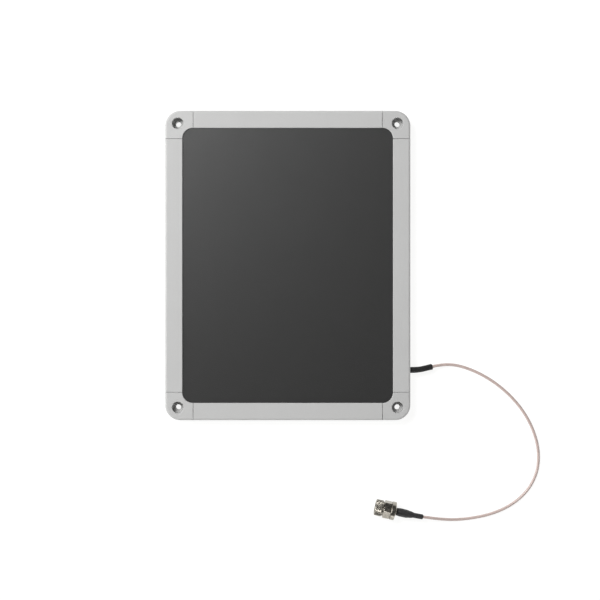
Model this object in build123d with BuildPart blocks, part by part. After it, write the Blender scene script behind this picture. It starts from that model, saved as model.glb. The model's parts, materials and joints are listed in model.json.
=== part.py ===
from build123d import *
from functools import partial
import math
import os

# Slim flat-panel antenna with a short coaxial lead and a screw connector.
# The panel lies on its back. +Z is the way the panel faces, +Y is up when it hangs on a wall, and the
# origin is the middle of the rear face. All lengths are in millimetres.

os.makedirs("parts", exist_ok=True)

# ---- housing ----
WIDTH = 206.0
HEIGHT = 260.0
THICKNESS = 14.0
RAIL_WIDTH = 14.6
CORNER_SIZE = 23.4
CORNER_OUTER_RADIUS = 12.8
CORNER_INNER_RADIUS = CORNER_SIZE - RAIL_WIDTH
SEAM_GAP = 0.35
TOP_EDGE_RADIUS = 1.8
FOOT_EDGE_RADIUS = 0.6
CORNER_TOP_SLOPE = 1.4
WALL = 2.4

# ---- rail section, heights above the rear face ----
FOOT_WIDTH = 5.8
COVER_RECESS = 1.7
LEDGE_TOP = 4.6
LEDGE_REACH = 12.0
SHELF_UNDERSIDE = 10.0
SHELF_TOP = 11.1
SHELF_REACH = 13.0
SLOT_BACK = 9.9
LIP_UNDERSIDE = 13.0
LIP_EDGE_RADIUS = 0.5

# ---- mounting holes ----
HOLE_INSET = 10.7
HOLE_RADIUS = 2.25
COUNTERBORE_RADIUS = 4.8
COUNTERBORE_DEPTH = 8.0
COUNTERBORE_CHAMFER = 0.35

# ---- sheets ----
FIT_GAP = 0.05
PANEL_THICKNESS = 1.5
PANEL_INSET = 10.2
PANEL_CORNER_RADIUS = 17.0
PANEL_SLOT_GAP = 0.3
SEAL_THICKNESS = 0.3
SEAL_SETBACK = 0.4
COVER_INSET = 6.0
COVER_CORNER_CUT = 16.5
COVER_FACE = 0.1
COVER_INNER_FACE = 1.6

# ---- tongues of the corner pieces ----
TONGUE_LENGTH = 14.0
TONGUE_REACH = 11.5
TONGUE_ROOT = 3.0
TONGUE_SCREW_AT = 8.0

# ---- countersunk screws ----
SCREW_INSET = 9.0
SCREW_RADIUS = 1.5
SCREW_HEAD_RADIUS = 2.9
SCREW_HEAD_HEIGHT = 1.4
COUNTERSINK_TAPER = 45
SCREW_SOCKET_RADIUS = 0.9
SCREW_SOCKET_DEPTH = 0.8
REAR_SCREW_LENGTH = 4.2
CORNER_SCREW_LENGTH = 6.5
REAR_SCREW_SPACING = 88.0
PAN_HEAD_TAPER = 12

# ---- radiator and its posts ----
PATCH_SIDE = 150.0
PATCH_CUT = 22.0
PATCH_THICKNESS = 0.8
PATCH_UNDERSIDE = 8.0
PATCH_CENTRE_Y = 10.0
POST_SPREAD = 120.0
POST_RADIUS = 3.5
CENTRE_POST_RADIUS = 4.5
POST_BORE_RADIUS = 1.5
PATCH_HOLE_RADIUS = 1.6
PATCH_SCREW_RADIUS = 1.45
PATCH_SCREW_HEAD_RADIUS = 2.8
PATCH_SCREW_HEAD_HEIGHT = 1.9
PATCH_SCREW_LENGTH = 5.0

# ---- feed board ----
BOARD_CENTRE = (30.0, -62.0)
BOARD_SIZE = (36.0, 28.0)
BOARD_THICKNESS = 1.6
BOARD_SCREW_SPACING = 30.0
BOARD_SCREW_OFFSET_Y = 11.0
BOARD_SCREW_RADIUS = 1.2
BOARD_SCREW_HEAD_RADIUS = 2.2
BOARD_SCREW_HEAD_HEIGHT = 1.5
FEED_PIN_AT = (21.0, -56.0)
FEED_PIN_RADIUS = 1.0

# ---- cable and its clamp ----
CABLE_RADIUS = 1.25
CABLE_BORE_RADIUS = 1.3
EXIT_Y = -88.0
EXIT_Z = 7.3
EXIT_HOLE_RADIUS = 2.65
SLEEVE_RADIUS = 2.6
SLEEVE_INSIDE = 5.0
TABLE_Z = 1.3
LEAD_Z = 4.5
CLAMP_CENTRE_X = 75.0
CLAMP_LENGTH = 6.0
CLAMP_WIDTH = 18.0
CLAMP_TOP = 6.8
CLAMP_SCREW_SPREAD = 12.0

# ---- connector: distances run along its axis from the front face of the nut ----
AXIS_TURN = -12.3
NUT_FRONT = (73.6, -203.4)
NUT_LENGTH = 17.3
BAND_RADIUS = 6.9
BAND_LENGTH = 6.4
GROOVE_RADIUS = 5.9
HEX_ACROSS_FLATS = 13.4
HEX_START = 7.2
HEX_TURN = -21.0
RIM_START = 13.6
RIM_RADIUS = 7.8
AXIS_Z = RIM_RADIUS + FIT_GAP
NUT_BORE_RADIUS = 5.2
RING_GROOVE = (12.0, 13.2)
RING_GROOVE_RADIUS = 5.5
BARREL_RADIUS = 4.5
NUT_CHAMFER = 0.5
SLEEVE_START = 1.5
CONTACT_SLEEVE_RADIUS = 4.1
CONTACT_SLEEVE_BORE = 3.4
FLANGE = (9.5, 11.0)
FLANGE_RADIUS = 5.0
BARREL_END = 18.0
RING_SEAT_RADIUS = 4.0
RING_OUTER_RADIUS = 5.4
RING_CLEARANCE = 0.2
GASKET_THICKNESS = 0.6
NECK_END = 22.0
REAR_NECK_RADIUS = 2.7
STEM_END = 27.0
STEM_RADIUS = 1.6
STEM_BORE_RADIUS = 0.9
INSULATOR = (5.5, 16.6)
CONTACT_RADIUS = 1.1
CONTACT_START = 3.5
CONTACT_SOCKET_RADIUS = 0.65
CONTACT_SOCKET_DEPTH = 5.0
FERRULE = (22.1, 30.5)
FERRULE_RADIUS = 2.3
CABLE_END = 27.5
BOOT_START = 18.2
BOOT_MOUTH_RADIUS = 3.2
BOOT_RADIUS = 3.5
BOOT_FULL_AT = 22.0
BOOT_SHOULDER = 27.5
BOOT_TAPER_END = 33.6
BOOT_TAPER_RADIUS = 2.35
BOOT_TAIL_RADIUS = 2.2
BOOT_TAIL_OVERLAP = 1.5
CABLE_BEND_AT = 36.5

AXIS_DIRECTION = Vector(math.cos(math.radians(AXIS_TURN)), math.sin(math.radians(AXIS_TURN)), 0)
AXIS_SIDE = Vector(0, 0, 1).cross(AXIS_DIRECTION)
CONNECTOR_AXIS = Axis(Vector(*NUT_FRONT, AXIS_Z), AXIS_DIRECTION)
AXIAL_PLANE = Plane(origin=CONNECTOR_AXIS.position, x_dir=AXIS_DIRECTION, z_dir=(0, 0, 1))


def on_axis(distance):
    """The point of the connector's axis that is this far behind the front face of the nut."""
    return CONNECTOR_AXIS.position + AXIS_DIRECTION * distance


# ---- routes ----
# The free cable: straight out of the wall, down to the table, round one open loop and into the connector.
CABLE_ROUTE = [
    Vector(WIDTH / 2, EXIT_Y, EXIT_Z),
    Vector(109.5, EXIT_Y, EXIT_Z),
    Vector(117.4, -86.3, 6.5),
    Vector(127.4, -84.0, 4.2),
    Vector(138.4, -83.4, 2.0),
    Vector(149.9, -85.9, TABLE_Z),
    Vector(163.4, -91.6, TABLE_Z),
    Vector(176.4, -99.6, TABLE_Z),
    Vector(188.9, -110.3, TABLE_Z),
    Vector(199.9, -123.6, TABLE_Z),
    Vector(208.2, -139.3, TABLE_Z),
    Vector(212.7, -156.8, TABLE_Z),
    Vector(211.6, -174.3, TABLE_Z),
    Vector(203.6, -190.3, TABLE_Z),
    Vector(189.9, -202.4, TABLE_Z),
    Vector(173.4, -210.0, TABLE_Z),
    Vector(156.4, -213.7, TABLE_Z),
    Vector(141.4, -215.1, TABLE_Z),
    Vector(129.9, -214.2, 4.2),
    Vector(118.9, -212.6, 7.1),
    on_axis(CABLE_BEND_AT),
    on_axis(CABLE_END),
]
# The same cable inside the housing: through the clamp and onto the feed board.
LEAD_ROUTE = [
    Vector(WIDTH / 2, EXIT_Y, EXIT_Z),
    Vector(93, EXIT_Y, EXIT_Z),
    Vector(82, EXIT_Y, LEAD_Z),
    Vector(66, EXIT_Y, LEAD_Z),
    Vector(51, -85, LEAD_Z),
    Vector(40, -77, LEAD_Z),
    Vector(35, -66, LEAD_Z),
    Vector(34, -56, LEAD_Z),
]
SHARE_OF_RUN = 0.45


def corner_radii(route):
    """The radius of the arc at each inner point of a route, as large as its two runs allow."""
    radii = []
    for before, at, after in zip(route, route[1:], route[2:]):
        shorter = min((at - before).length, (after - at).length)
        turn = math.radians((at - before).get_angle(after - at))
        radii.append(SHARE_OF_RUN * shorter / math.tan(turn / 2))
    return radii


CABLE_RADII = corner_radii(CABLE_ROUTE)
LEAD_RADII = corner_radii(LEAD_ROUTE)


def path_of(points, radii):
    """Straight runs through the points, joined by tangent arcs."""
    with BuildLine() as path:
        FilletPolyline(*points, radius=radii)
    return path.wires()[0]


def start_of(path):
    """The plane square to a path at its first point."""
    return Plane(origin=path @ 0, z_dir=path % 0)


def place(part, label):
    """Name a finished piece and write it."""
    part.label = label
    export_step(part, f"parts/{label}.step")


# ---- frame rails ----
# Each side is given by the way it faces inward and by its half distance from the middle.
SIDES = {
    "rail_left": (Vector(1, 0, 0), WIDTH / 2, HEIGHT),
    "rail_right": (Vector(-1, 0, 0), WIDTH / 2, HEIGHT),
    "rail_top": (Vector(0, -1, 0), HEIGHT / 2, WIDTH),
    "rail_bottom": (Vector(0, 1, 0), HEIGHT / 2, WIDTH),
}
RAIL_SECTION = [
    (0, 0),
    (FOOT_WIDTH, 0),
    (FOOT_WIDTH, COVER_RECESS),
    (LEDGE_REACH, COVER_RECESS),
    (LEDGE_REACH, LEDGE_TOP),
    (WALL, LEDGE_TOP),
    (WALL, SHELF_UNDERSIDE),
    (SHELF_REACH, SHELF_UNDERSIDE),
    (SHELF_REACH, SHELF_TOP),
    (SLOT_BACK, SHELF_TOP),
    (SLOT_BACK, LIP_UNDERSIDE),
    (RAIL_WIDTH, LIP_UNDERSIDE),
    (RAIL_WIDTH, THICKNESS),
    (0, THICKNESS),
]


def countersunk(name, places, head_z, length):
    """A group of countersunk screws, driven upward, with their heads' faces at head_z."""
    with BuildPart() as screws:
        with BuildSketch(Plane.XY.offset(head_z)):
            with Locations(*places):
                Circle(SCREW_HEAD_RADIUS)
        extrude(amount=SCREW_HEAD_HEIGHT, taper=COUNTERSINK_TAPER)
        with BuildSketch(Plane.XY.offset(head_z + SCREW_HEAD_HEIGHT)):
            with Locations(*places):
                Circle(SCREW_RADIUS)
        extrude(amount=length - SCREW_HEAD_HEIGHT)
        with BuildSketch(Plane.XY.offset(head_z)):
            with Locations(*places):
                RegularPolygon(SCREW_SOCKET_RADIUS, 6)
        extrude(amount=SCREW_SOCKET_DEPTH, mode=Mode.SUBTRACT)
    place(screws.part, name)


def screw_cuts(places, head_z, depth):
    """Cut countersunk holes from below, a fit gap wider than the screws, into the part being built."""
    with BuildSketch(Plane.XY.offset(head_z)) as heads:
        with Locations(*places):
            Circle(SCREW_HEAD_RADIUS + FIT_GAP)
    extrude(heads.sketch, amount=SCREW_HEAD_HEIGHT + FIT_GAP, taper=COUNTERSINK_TAPER, mode=Mode.SUBTRACT)
    with BuildSketch(Plane.XY.offset(head_z)) as shanks:
        with Locations(*places):
            Circle(SCREW_RADIUS + FIT_GAP)
    extrude(shanks.sketch, amount=depth, mode=Mode.SUBTRACT)


def side_place(name, along, inset):
    """The point of a side that is this far along it from its middle and this far in from its outer edge."""
    inward, reach, _ = SIDES[name]
    run = inward.cross(Vector(0, 0, 1))
    spot = inward * (inset - reach) + run * along
    return (spot.X, spot.Y)


REAR_SCREW_OFFSETS = {
    "rail_left": (-REAR_SCREW_SPACING, 0, REAR_SCREW_SPACING),
    "rail_right": (-REAR_SCREW_SPACING, 0, REAR_SCREW_SPACING),
    "rail_top": (0,),
    "rail_bottom": (0,),
}
REAR_SCREWS_AT = {
    name: [side_place(name, along, SCREW_INSET) for along in offsets]
    for name, offsets in REAR_SCREW_OFFSETS.items()
}
CORNER_SCREWS_AT = {
    name: [
        side_place(name, end * (length / 2 - CORNER_SIZE - TONGUE_SCREW_AT), SCREW_INSET)
        for end in (-1, 1)
    ]
    for name, (_, _, length) in SIDES.items()
}

for rail_name, (inward, reach, span) in SIDES.items():
    rail_length = span - 2 * CORNER_SIZE - 2 * SEAM_GAP
    run = inward.cross(Vector(0, 0, 1))
    end_plane = Plane(origin=inward * -reach - run * (rail_length / 2), x_dir=inward, z_dir=run)
    with BuildPart() as rail:
        with BuildSketch(end_plane):
            with BuildLine():
                Polyline(*RAIL_SECTION, close=True)
            make_face()
        extrude(amount=rail_length)
        long_edges = rail.edges().filter_by(Axis(end_plane.origin, run))
        outer_edges = long_edges.sort_by(lambda e: e.center().dot(inward))[:2]
        fillet(outer_edges.sort_by(Axis.Z)[-1], radius=TOP_EDGE_RADIUS)
        fillet(outer_edges.sort_by(Axis.Z)[0], radius=FOOT_EDGE_RADIUS)
        lip_edge = rail.edges().filter_by(Axis(end_plane.origin, run)).group_by(Axis.Z)[-1]
        fillet(lip_edge.sort_by(lambda e: e.center().dot(inward))[-1], radius=LIP_EDGE_RADIUS)
        screw_cuts(CORNER_SCREWS_AT[rail_name], COVER_RECESS, LEDGE_TOP)
        with BuildSketch(Plane.XY.offset(COVER_RECESS)):
            with Locations(*REAR_SCREWS_AT[rail_name]):
                Circle(SCREW_RADIUS + FIT_GAP)
        extrude(amount=LEDGE_TOP - COVER_RECESS, mode=Mode.SUBTRACT)
        if rail_name == "rail_right":
            with BuildSketch(Plane(origin=(WIDTH / 2, EXIT_Y, EXIT_Z), z_dir=(-1, 0, 0))):
                Circle(EXIT_HOLE_RADIUS)
            extrude(amount=2 * WALL, mode=Mode.SUBTRACT)
    place(rail.part, rail_name)

# ---- corner pieces ----
CORNERS = {
    "corner_top_left": (-1, 1),
    "corner_top_right": (1, 1),
    "corner_bottom_left": (-1, -1),
    "corner_bottom_right": (1, -1),
}
DIAGONAL_SHARE = math.sqrt(0.5)


def inset_point(name, from_x, from_y):
    """The point that is this far in from the two outer edges that meet at a corner."""
    side_x, side_y = CORNERS[name]
    return (side_x * (WIDTH / 2 - from_x), side_y * (HEIGHT / 2 - from_y))


def inset_of(edge):
    """How far in from the housing's outer edges the middle of an edge is."""
    middle = edge.center()
    return min(WIDTH / 2 - abs(middle.X), HEIGHT / 2 - abs(middle.Y))


for corner_name, (side_x, side_y) in CORNERS.items():
    at = partial(inset_point, corner_name)
    outer_mid = CORNER_OUTER_RADIUS * (1 - DIAGONAL_SHARE)
    inner_mid = CORNER_SIZE - CORNER_INNER_RADIUS * DIAGONAL_SHARE
    outward = Vector(side_x, side_y, 0).normalized()
    tilt = math.radians(CORNER_TOP_SLOPE)
    top_plane = Plane(
        origin=(*at(CORNER_SIZE, RAIL_WIDTH), THICKNESS),
        z_dir=outward * math.sin(tilt) + Vector(0, 0, math.cos(tilt)),
    )
    with BuildPart() as corner:
        with BuildSketch():
            with BuildLine():
                Line(at(CORNER_SIZE, 0), at(CORNER_OUTER_RADIUS, 0))
                ThreePointArc(
                    at(CORNER_OUTER_RADIUS, 0), at(outer_mid, outer_mid), at(0, CORNER_OUTER_RADIUS)
                )
                Line(at(0, CORNER_OUTER_RADIUS), at(0, CORNER_SIZE))
                Line(at(0, CORNER_SIZE), at(RAIL_WIDTH, CORNER_SIZE))
                ThreePointArc(
                    at(RAIL_WIDTH, CORNER_SIZE), at(inner_mid, inner_mid), at(CORNER_SIZE, RAIL_WIDTH)
                )
                Line(at(CORNER_SIZE, RAIL_WIDTH), at(CORNER_SIZE, 0))
            make_face()
        extrude(amount=THICKNESS)
        split(bisect_by=top_plane, keep=Keep.BOTTOM)
        top_face = corner.faces().sort_by(Axis.Z)[-1]
        fillet(top_face.edges().filter_by(lambda e: inset_of(e) < RAIL_WIDTH / 3), radius=TOP_EDGE_RADIUS)
        lip_arc = corner.faces().sort_by(Axis.Z)[-1].edges().sort_by(lambda e: e.center().length)[0]
        fillet(lip_arc, radius=LIP_EDGE_RADIUS)
        # Recess for the rear cover, whose corner is cut at 45 degrees.
        cut_end = FOOT_WIDTH + COVER_CORNER_CUT
        with BuildSketch():
            with BuildLine():
                Polyline(
                    at(FOOT_WIDTH, CORNER_SIZE),
                    at(FOOT_WIDTH, cut_end),
                    at(cut_end, FOOT_WIDTH),
                    at(CORNER_SIZE, FOOT_WIDTH),
                    at(CORNER_SIZE, CORNER_SIZE),
                    close=True,
                )
            make_face()
        extrude(amount=COVER_RECESS, mode=Mode.SUBTRACT)
        # Room inside: up to the shelf, beside the shelf, and the slot that holds the panel.
        for centre, radius, low, high in (
            (CORNER_SIZE, CORNER_SIZE - LEDGE_REACH, COVER_RECESS, SHELF_UNDERSIDE),
            (CORNER_SIZE, CORNER_SIZE - SHELF_REACH, SHELF_UNDERSIDE, SHELF_TOP),
            (
                PANEL_INSET + PANEL_CORNER_RADIUS,
                PANEL_CORNER_RADIUS + PANEL_SLOT_GAP,
                SHELF_TOP,
                LIP_UNDERSIDE,
            ),
        ):
            with BuildSketch(Plane.XY.offset(low)):
                with Locations(at(centre, centre)):
                    Circle(radius)
            extrude(amount=high - low, mode=Mode.SUBTRACT)
        # Tongues that plug into the two rails.
        tongue_width = TONGUE_REACH - WALL - FIT_GAP
        tongue_mid = (TONGUE_REACH + WALL + FIT_GAP) / 2
        for along_x in (True, False):
            middle = CORNER_SIZE + (TONGUE_LENGTH - TONGUE_ROOT) / 2
            size = TONGUE_LENGTH + TONGUE_ROOT
            spot = at(middle, tongue_mid) if along_x else at(tongue_mid, middle)
            with BuildSketch(Plane.XY.offset(LEDGE_TOP + FIT_GAP)):
                with Locations(spot):
                    if along_x:
                        Rectangle(size, tongue_width)
                    else:
                        Rectangle(tongue_width, size)
            extrude(amount=SHELF_UNDERSIDE - LEDGE_TOP - 2 * FIT_GAP)
        near_screws = [
            spot
            for spots in CORNER_SCREWS_AT.values()
            for spot in spots
            if spot[0] * side_x > 0 and spot[1] * side_y > 0
        ]
        with BuildSketch(Plane.XY.offset(LEDGE_TOP)):
            with Locations(*near_screws):
                Circle(SCREW_RADIUS + FIT_GAP)
        extrude(amount=CORNER_SCREW_LENGTH, mode=Mode.SUBTRACT)
        # Mounting hole, counterbored from the front.
        with Locations(Plane(origin=(*at(HOLE_INSET, HOLE_INSET), THICKNESS))):
            CounterBoreHole(HOLE_RADIUS, COUNTERBORE_RADIUS, COUNTERBORE_DEPTH)
        mouth = corner.faces().filter_by(GeomType.PLANE).sort_by(Axis.Z)[-1].inner_wires()[0]
        chamfer(mouth.edges(), length=COUNTERBORE_CHAMFER)
    place(corner.part, corner_name)

countersunk(
    "corner_screws",
    [spot for spots in CORNER_SCREWS_AT.values() for spot in spots],
    COVER_RECESS + FIT_GAP,
    CORNER_SCREW_LENGTH,
)

# ---- front panel and its seal ----
PANEL_UNDERSIDE = SHELF_TOP + FIT_GAP
PANEL_TOP = PANEL_UNDERSIDE + PANEL_THICKNESS
with BuildPart() as front_panel:
    with BuildSketch(Plane.XY.offset(PANEL_UNDERSIDE)):
        RectangleRounded(WIDTH - 2 * PANEL_INSET, HEIGHT - 2 * PANEL_INSET, PANEL_CORNER_RADIUS)
    extrude(amount=PANEL_THICKNESS)
place(front_panel.part, "front_panel")

with BuildPart() as panel_seal:
    with BuildSketch(Plane.XY.offset(PANEL_TOP)):
        RectangleRounded(WIDTH - 2 * PANEL_INSET, HEIGHT - 2 * PANEL_INSET, PANEL_CORNER_RADIUS)
        RectangleRounded(
            WIDTH - 2 * (RAIL_WIDTH - SEAL_SETBACK),
            HEIGHT - 2 * (RAIL_WIDTH - SEAL_SETBACK),
            CORNER_INNER_RADIUS + SEAL_SETBACK,
            mode=Mode.SUBTRACT,
        )
    extrude(amount=SEAL_THICKNESS)
place(panel_seal.part, "panel_seal")

# ---- rear cover ----
with BuildPart() as rear_cover:
    with BuildSketch(Plane.XY.offset(COVER_FACE)) as cover_outline:
        Rectangle(WIDTH - 2 * COVER_INSET, HEIGHT - 2 * COVER_INSET)
        chamfer(cover_outline.vertices(), length=COVER_CORNER_CUT)
    extrude(amount=COVER_INNER_FACE - COVER_FACE)
    screw_cuts([spot for spots in REAR_SCREWS_AT.values() for spot in spots], COVER_FACE, COVER_INNER_FACE)
place(rear_cover.part, "rear_cover")

countersunk(
    "rear_screws",
    [spot for spots in REAR_SCREWS_AT.values() for spot in spots],
    COVER_FACE + FIT_GAP,
    REAR_SCREW_LENGTH,
)

# ---- radiator ----
POST_PLACES = [
    (side_x * POST_SPREAD / 2, PATCH_CENTRE_Y + side_y * POST_SPREAD / 2)
    for side_x, side_y in CORNERS.values()
]
PATCH_CENTRE = (0, PATCH_CENTRE_Y)
with BuildPart() as patch_radiator:
    with BuildSketch(Plane.XY.offset(PATCH_UNDERSIDE)) as patch_outline:
        with Locations(PATCH_CENTRE):
            Rectangle(PATCH_SIDE, PATCH_SIDE)
        by_diagonal = patch_outline.vertices().sort_by(lambda v: v.X - v.Y)
        chamfer([by_diagonal[0], by_diagonal[-1]], length=PATCH_CUT)
        with Locations(PATCH_CENTRE, *POST_PLACES):
            Circle(PATCH_HOLE_RADIUS, mode=Mode.SUBTRACT)
    extrude(amount=PATCH_THICKNESS)
place(patch_radiator.part, "patch_radiator")

for post_name, post_radius, post_places in (
    ("patch_centre_post", CENTRE_POST_RADIUS, [PATCH_CENTRE]),
    ("patch_standoffs", POST_RADIUS, POST_PLACES),
):
    with BuildPart() as posts:
        with BuildSketch(Plane.XY.offset(COVER_INNER_FACE)):
            with Locations(*post_places):
                Circle(post_radius)
                Circle(POST_BORE_RADIUS, mode=Mode.SUBTRACT)
        extrude(amount=PATCH_UNDERSIDE - COVER_INNER_FACE)
    place(posts.part, post_name)

PATCH_TOP = PATCH_UNDERSIDE + PATCH_THICKNESS
with BuildPart() as patch_screws:
    with BuildSketch(Plane.XY.offset(PATCH_TOP)):
        with Locations(PATCH_CENTRE, *POST_PLACES):
            Circle(PATCH_SCREW_HEAD_RADIUS)
    extrude(amount=PATCH_SCREW_HEAD_HEIGHT, taper=PAN_HEAD_TAPER)
    with BuildSketch(Plane.XY.offset(PATCH_TOP)):
        with Locations(PATCH_CENTRE, *POST_PLACES):
            Circle(PATCH_SCREW_RADIUS)
    extrude(amount=-PATCH_SCREW_LENGTH)
place(patch_screws.part, "patch_screws")

# ---- feed board ----
BOARD_TOP = COVER_INNER_FACE + BOARD_THICKNESS
BOARD_SCREWS_AT = [
    (BOARD_CENTRE[0] + side * BOARD_SCREW_SPACING / 2, BOARD_CENTRE[1] + side * BOARD_SCREW_OFFSET_Y)
    for side in (-1, 1)
]
with BuildPart() as feed_board:
    with BuildSketch(Plane.XY.offset(COVER_INNER_FACE)):
        with Locations(BOARD_CENTRE):
            Rectangle(*BOARD_SIZE)
        with Locations(*BOARD_SCREWS_AT):
            Circle(BOARD_SCREW_RADIUS + FIT_GAP, mode=Mode.SUBTRACT)
    extrude(amount=BOARD_THICKNESS)
place(feed_board.part, "feed_board")

with BuildPart() as feed_board_screws:
    with BuildSketch(Plane.XY.offset(COVER_INNER_FACE)):
        with Locations(*BOARD_SCREWS_AT):
            Circle(BOARD_SCREW_RADIUS)
    extrude(amount=BOARD_THICKNESS)
    with BuildSketch(Plane.XY.offset(BOARD_TOP)):
        with Locations(*BOARD_SCREWS_AT):
            Circle(BOARD_SCREW_HEAD_RADIUS)
    extrude(amount=BOARD_SCREW_HEAD_HEIGHT, taper=PAN_HEAD_TAPER)
place(feed_board_screws.part, "feed_board_screws")

with BuildPart() as feed_pin:
    with BuildSketch(Plane.XY.offset(BOARD_TOP)):
        with Locations(FEED_PIN_AT):
            Circle(FEED_PIN_RADIUS)
    extrude(amount=PATCH_UNDERSIDE - BOARD_TOP)
place(feed_pin.part, "feed_pin")

# ---- cable inside the housing ----
with BuildPart() as coax_lead_inner:
    lead_path = path_of(LEAD_ROUTE, LEAD_RADII)
    with BuildSketch(start_of(lead_path)):
        Circle(CABLE_RADIUS)
    sweep(path=lead_path)
place(coax_lead_inner.part, "coax_lead_inner")

CLAMP_SCREWS_AT = [(CLAMP_CENTRE_X, EXIT_Y + side * CLAMP_SCREW_SPREAD / 2) for side in (-1, 1)]
with BuildPart() as cable_clamp:
    with BuildSketch(Plane.XY.offset(COVER_INNER_FACE)):
        with Locations((CLAMP_CENTRE_X, EXIT_Y)):
            Rectangle(CLAMP_LENGTH, CLAMP_WIDTH)
        with Locations(*CLAMP_SCREWS_AT):
            Circle(BOARD_SCREW_RADIUS + FIT_GAP, mode=Mode.SUBTRACT)
    extrude(amount=CLAMP_TOP - COVER_INNER_FACE)
    with BuildSketch(Plane(origin=(CLAMP_CENTRE_X - CLAMP_LENGTH, EXIT_Y, LEAD_Z), z_dir=(1, 0, 0))):
        Circle(CABLE_BORE_RADIUS)
    extrude(amount=2 * CLAMP_LENGTH, mode=Mode.SUBTRACT)
place(cable_clamp.part, "cable_clamp")

with BuildPart() as clamp_screws:
    with BuildSketch(Plane.XY.offset(COVER_INNER_FACE)):
        with Locations(*CLAMP_SCREWS_AT):
            Circle(BOARD_SCREW_RADIUS)
    extrude(amount=CLAMP_TOP - COVER_INNER_FACE)
    with BuildSketch(Plane.XY.offset(CLAMP_TOP)):
        with Locations(*CLAMP_SCREWS_AT):
            Circle(BOARD_SCREW_HEAD_RADIUS)
    extrude(amount=BOARD_SCREW_HEAD_HEIGHT, taper=PAN_HEAD_TAPER)
place(clamp_screws.part, "clamp_screws")

# ---- free cable, its sleeve at the wall and its boot at the connector ----
with BuildPart() as coax_cable:
    cable_path = path_of(CABLE_ROUTE, CABLE_RADII)
    with BuildSketch(start_of(cable_path)):
        Circle(CABLE_RADIUS)
    sweep(path=cable_path)
place(coax_cable.part, "coax_cable")

SLEEVE_END = (CABLE_ROUTE[2] + CABLE_ROUTE[3]) / 2
SLEEVE_INNER_END = CABLE_ROUTE[0] - Vector(SLEEVE_INSIDE, 0, 0)
with BuildPart() as exit_sleeve:
    sleeve_path = path_of([SLEEVE_INNER_END, *CABLE_ROUTE[1:3], SLEEVE_END], CABLE_RADII[:2])
    with BuildSketch(start_of(sleeve_path)):
        Circle(SLEEVE_RADIUS)
        Circle(CABLE_BORE_RADIUS, mode=Mode.SUBTRACT)
    sweep(path=sleeve_path)
place(exit_sleeve.part, "exit_sleeve")


def turned(name, outline):
    """A piece turned about the connector's axis, from its half section of (distance, radius) corners."""
    with BuildPart() as piece:
        with BuildSketch(AXIAL_PLANE):
            with BuildLine():
                Polyline(*outline, close=True)
            make_face()
        revolve(axis=CONNECTOR_AXIS)
    place(piece.part, name)


# The boot grips the neck, swells over the ferrule and draws in to the cable, which it follows into its bend.
BOOT_END = (CABLE_ROUTE[-3] + CABLE_ROUTE[-2]) / 2
with BuildPart() as connector_boot:
    with BuildSketch(AXIAL_PLANE):
        with BuildLine():
            Polyline(
                (BOOT_START, REAR_NECK_RADIUS + FIT_GAP),
                (BOOT_START, BOOT_MOUTH_RADIUS),
                (BOOT_FULL_AT, BOOT_RADIUS),
                (BOOT_SHOULDER, BOOT_RADIUS),
                (BOOT_TAPER_END, BOOT_TAPER_RADIUS),
                (BOOT_TAPER_END, 0),
                (FERRULE[1] + FIT_GAP, 0),
                (FERRULE[1] + FIT_GAP, FERRULE_RADIUS + FIT_GAP),
                (NECK_END + FIT_GAP, FERRULE_RADIUS + FIT_GAP),
                (NECK_END + FIT_GAP, REAR_NECK_RADIUS + FIT_GAP),
                close=True,
            )
        make_face()
    revolve(axis=CONNECTOR_AXIS)
    boot_path = path_of([CABLE_ROUTE[-1], CABLE_ROUTE[-2], BOOT_END], CABLE_RADII[-1:])
    tail_start = (BOOT_TAPER_END - BOOT_TAIL_OVERLAP - CABLE_END) / boot_path.length
    tail_path = boot_path.trim(tail_start, 1.0)
    with BuildSketch(start_of(tail_path)):
        Circle(BOOT_TAIL_RADIUS)
    sweep(path=tail_path)
    with BuildSketch(start_of(boot_path)):
        Circle(CABLE_BORE_RADIUS)
    sweep(path=boot_path, mode=Mode.SUBTRACT)
place(connector_boot.part, "connector_boot")

# ---- connector ----
turned(
    "crimp_ferrule",
    [
        (FERRULE[0], STEM_RADIUS + FIT_GAP),
        (FERRULE[0], FERRULE_RADIUS),
        (FERRULE[1], FERRULE_RADIUS),
        (FERRULE[1], CABLE_BORE_RADIUS),
        (STEM_END + FIT_GAP, CABLE_BORE_RADIUS),
        (STEM_END + FIT_GAP, STEM_RADIUS + FIT_GAP),
    ],
)
RING = (RING_GROOVE[0] + RING_CLEARANCE, RING_GROOVE[1] - RING_CLEARANCE)
turned(
    "connector_body",
    [
        (SLEEVE_START, CONTACT_SLEEVE_BORE),
        (SLEEVE_START, CONTACT_SLEEVE_RADIUS),
        (FLANGE[0], CONTACT_SLEEVE_RADIUS),
        (FLANGE[0], FLANGE_RADIUS),
        (FLANGE[1], FLANGE_RADIUS),
        (FLANGE[1], BARREL_RADIUS),
        (RING[0] - FIT_GAP, BARREL_RADIUS),
        (RING[0] - FIT_GAP, RING_SEAT_RADIUS),
        (RING[1] + FIT_GAP, RING_SEAT_RADIUS),
        (RING[1] + FIT_GAP, BARREL_RADIUS),
        (BARREL_END, BARREL_RADIUS),
        (BARREL_END, REAR_NECK_RADIUS),
        (NECK_END, REAR_NECK_RADIUS),
        (NECK_END, STEM_RADIUS),
        (STEM_END, STEM_RADIUS),
        (STEM_END, STEM_BORE_RADIUS),
        (INSULATOR[1] + FIT_GAP, STEM_BORE_RADIUS),
        (INSULATOR[1] + FIT_GAP, CONTACT_SLEEVE_BORE),
    ],
)
turned(
    "retaining_ring",
    [
        (RING[0], RING_SEAT_RADIUS + FIT_GAP),
        (RING[0], RING_OUTER_RADIUS),
        (RING[1], RING_OUTER_RADIUS),
        (RING[1], RING_SEAT_RADIUS + FIT_GAP),
    ],
)
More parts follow.
